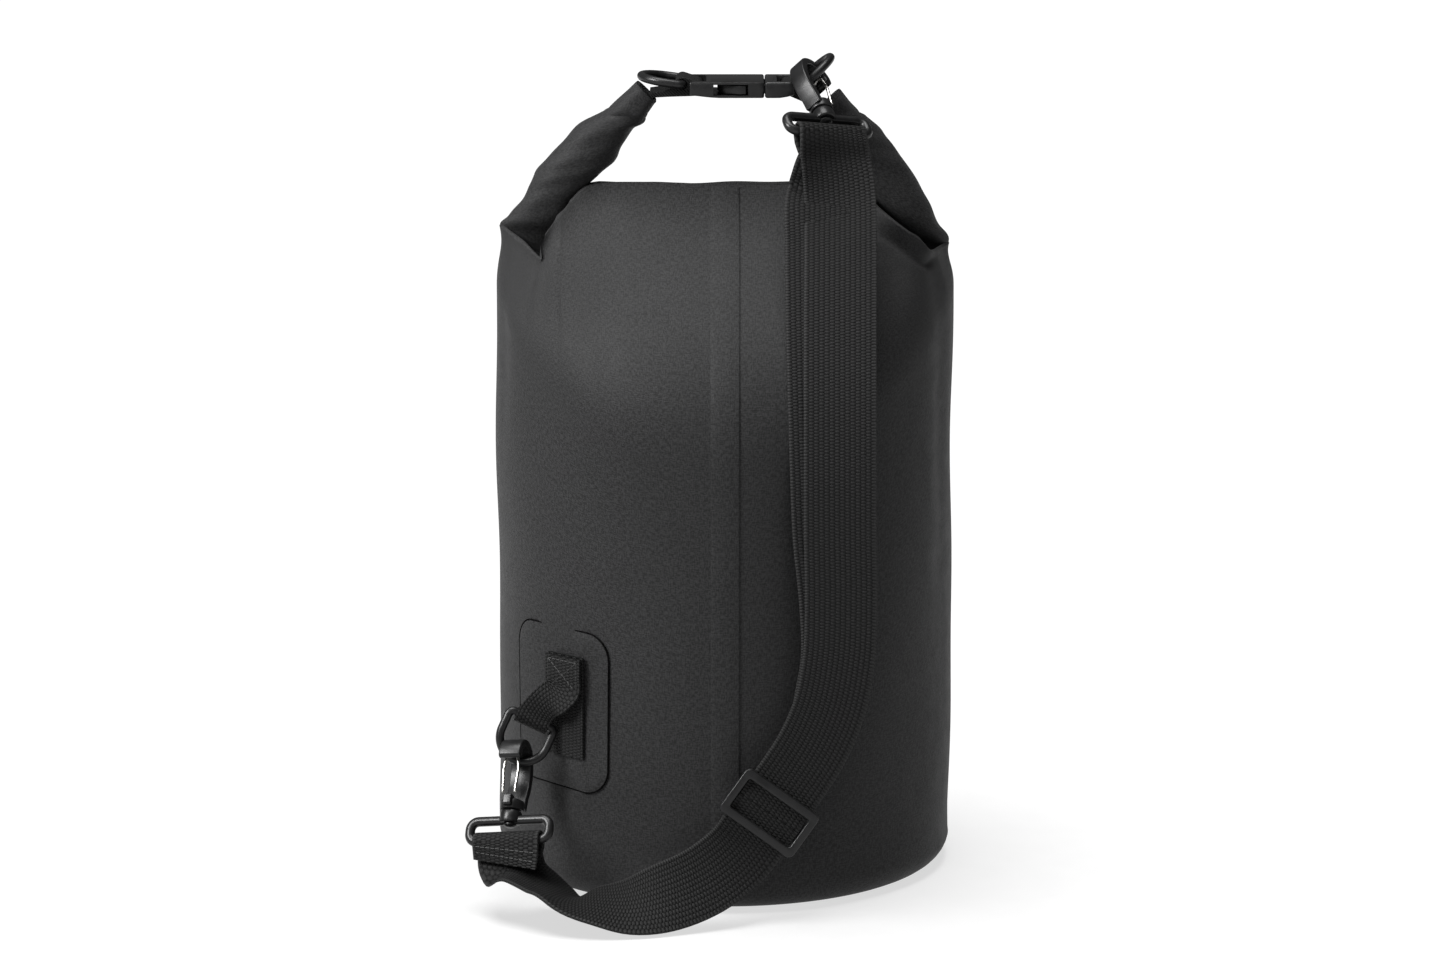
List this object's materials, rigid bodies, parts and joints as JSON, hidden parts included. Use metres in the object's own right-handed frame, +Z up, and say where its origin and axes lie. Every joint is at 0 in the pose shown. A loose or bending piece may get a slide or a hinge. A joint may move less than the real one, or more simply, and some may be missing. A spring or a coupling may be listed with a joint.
{
  "type": "roll-top dry bag",
  "caption": "Cylindrical roll-top waterproof bag with a buckled carry handle and a clip-on webbing shoulder strap.",
  "frame": {"origin": "centre of the flat underside of the base panel, on the surface the bag stands on", "axes": "+Z up along the bag; +X from the buckle's socket end to its plug end; the strap and the back seam are on the -Y side"},
  "size_m": [0.2601, 0.2946, 0.4413],
  "materials": {
    "coated_fabric": "matte coated weave",
    "webbing": "ribbed polyester webbing",
    "acetal": "satin moulded",
    "stiffener": "plain strip",
    "steel_wire": "bright wire"
  },
  "bodies": {
    "bag": {"body_tube": "coated_fabric", "base_panel": "coated_fabric", "back_seam_strip": "coated_fabric", "mouth_roll": "coated_fabric", "roll_stiffener": "stiffener", "left_arm": "coated_fabric", "right_arm": "coated_fabric", "left_tab": "webbing", "buckle_socket": "acetal", "lower_patch": "coated_fabric", "lower_tab": "webbing", "strap_run": "webbing", "strap_return": "webbing", "lower_ring_loop": "webbing"},
    "strap_slider": {"slider": "acetal"},
    "plug_end": {"buckle_plug": "acetal", "right_arm_tip": "coated_fabric", "right_tab": "webbing", "right_d_ring": "acetal", "upper_strap_loop": "acetal", "upper_swivel_post": "acetal", "strap_top": "webbing"},
    "near_prong": {"prong_near": "acetal"},
    "far_prong": {"prong_far": "acetal"},
    "upper_clip": {"upper_hook": "acetal"},
    "upper_clip_gate": {"upper_gate": "steel_wire"},
    "left_ring": {"left_d_ring": "acetal"},
    "strap_foot": {"lower_d_ring": "acetal", "lower_strap_loop": "acetal", "lower_swivel_post": "acetal", "strap_sewn_end": "webbing"},
    "lower_clip": {"lower_hook": "acetal"},
    "lower_clip_gate": {"lower_gate": "steel_wire"}
  },
  "joints": [
    {"name": "buckle_pull", "type": "slide", "parent": "bag", "child": "plug_end", "axis": [1, 0, 0], "range_m": [0, 0.024]},
    {"name": "near_prong_flex", "type": "hinge", "parent": "plug_end", "child": "near_prong", "pos_m": [0.0226, -0.0108, 0.4237], "axis": [0, 0, 1], "range_deg": [-7, 0], "stiffness_Nm_per_rad": 0.05, "deforming": ["prong_near"]},
    {"name": "far_prong_flex", "type": "hinge", "parent": "plug_end", "child": "far_prong", "pos_m": [0.0226, 0.0108, 0.4237], "axis": [0, 0, 1], "range_deg": [0, 7], "stiffness_Nm_per_rad": 0.05, "deforming": ["prong_far"]},
    {"name": "upper_clip_swivel", "type": "hinge", "parent": "plug_end", "child": "upper_clip", "pos_m": [0.0518, -0.034, 0.4137], "axis": [-0.24, 0.8, 0.55], "range_deg": [-5, 6]},
    {"name": "upper_gate_spring", "type": "hinge", "parent": "upper_clip", "child": "upper_clip_gate", "pos_m": [0.0543, -0.02224, 0.4155], "axis": [-0.6992, 0.2506, -0.6696], "range_deg": [-14, 0], "stiffness_Nm_per_rad": 0.02},
    {"name": "left_ring_swing", "type": "hinge", "parent": "bag", "child": "left_ring", "pos_m": [-0.0226, 0, 0.4262], "axis": [0, 1, 0], "range_deg": [0, 117]},
    {"name": "lower_ring_swing", "type": "hinge", "parent": "bag", "child": "strap_foot", "pos_m": [-0.102, -0.0913, 0.0979], "axis": [0.9011, 0.024, -0.433], "range_deg": [-6, 8]},
    {"name": "lower_clip_swivel", "type": "hinge", "parent": "strap_foot", "child": "lower_clip", "pos_m": [-0.1128, -0.1149, 0.0528], "axis": [0.0889, 0.5583, 0.8249], "range_deg": [-2, 15]},
    {"name": "lower_gate_spring", "type": "hinge", "parent": "lower_clip", "child": "lower_clip_gate", "pos_m": [-0.114, -0.11503, 0.0649], "axis": [0.9535, -0.2871, 0.0916], "range_deg": [-8, 0], "stiffness_Nm_per_rad": 0.02},
    {"name": "slider_slide", "type": "slide", "parent": "bag", "child": "strap_slider", "axis": [0.5761, 0.123, 0.8081], "range_m": [-0.008, 0.008]}
  ]
}
